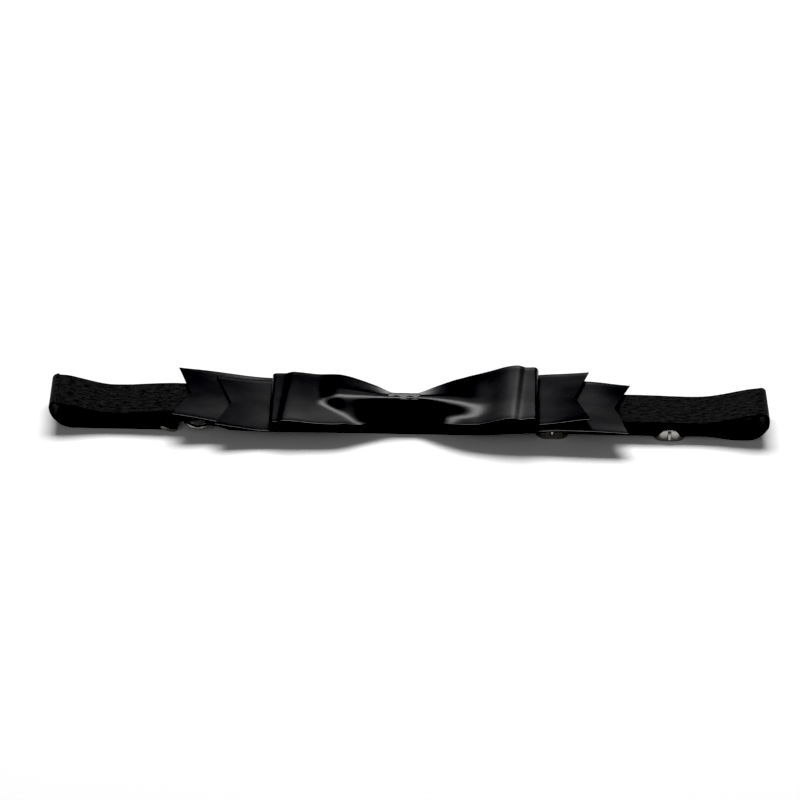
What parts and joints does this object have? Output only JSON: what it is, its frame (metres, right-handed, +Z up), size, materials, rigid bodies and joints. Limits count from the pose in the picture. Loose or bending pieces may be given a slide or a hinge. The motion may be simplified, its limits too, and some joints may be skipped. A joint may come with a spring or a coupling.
{
  "type": "bow tie",
  "caption": "Pre-tied satin bow tie with swallowtail ends, on an adjustable velvet elastic neckband that is hooked closed and pressed flat.",
  "frame": {"origin": "on the surface the tie lies on, under the middle of its bounding box", "axes": "+X along the neckband, with the hook on the -X side; +Y towards the tails' far edges; +Z up, out of the bow's front"},
  "size_m": [0.2032, 0.0254, 0.0112],
  "materials": {
    "velvet_elastic": "matte velvet nap on woven elastic",
    "satin": "satin weave with a soft sheen",
    "thread": "matte spun polyester",
    "nickel": "polished nickel plate"
  },
  "bodies": {
    "tie": {"band_front": "velvet_elastic", "band_left_fold": "velvet_elastic", "band_right_fold": "velvet_elastic", "band_lower_run": "velvet_elastic", "band_eye_loop": "velvet_elastic", "band_free_end": "velvet_elastic", "long_tail_ribbon": "satin", "short_tail_ribbon": "satin", "bow_loop_ribbon": "satin", "waist_thread": "thread", "knot_wrap": "satin", "free_end_bartack": "thread", "knot_seam_bartack": "thread"},
    "hook_end": {"band_hook_end": "velvet_elastic", "hook_end_bartack": "thread"},
    "hook": {"closure_hook": "nickel"},
    "eye": {"closure_eye": "nickel"},
    "slide_inner": {"inner_slide": "nickel"},
    "slide_outer": {"outer_slide": "nickel"}
  },
  "joints": [
    {"name": "hook_end_swing", "type": "hinge", "parent": "tie", "child": "hook_end", "pos_m": [-0.1012, 0, 0.0047], "axis": [0, 1, 0], "range_deg": [0, 150], "deforming": ["band_left_fold"]},
    {"name": "hook_tilt", "type": "hinge", "parent": "hook_end", "child": "hook", "pos_m": [-0.0701, 0, 0.00165], "axis": [0, 1, 0], "range_deg": [0, 40]},
    {"name": "eye_tilt", "type": "hinge", "parent": "tie", "child": "eye", "pos_m": [-0.05615, 0, 0.00205], "axis": [0, 1, 0], "range_deg": [0, 20]},
    {"name": "inner_slide_travel", "type": "slide", "parent": "tie", "child": "slide_inner", "axis": [1, 0, 0], "range_m": [-0.01, 0.012]},
    {"name": "outer_slide_travel", "type": "slide", "parent": "tie", "child": "slide_outer", "axis": [1, 0, 0], "range_m": [-0.01, 0.006]}
  ]
}
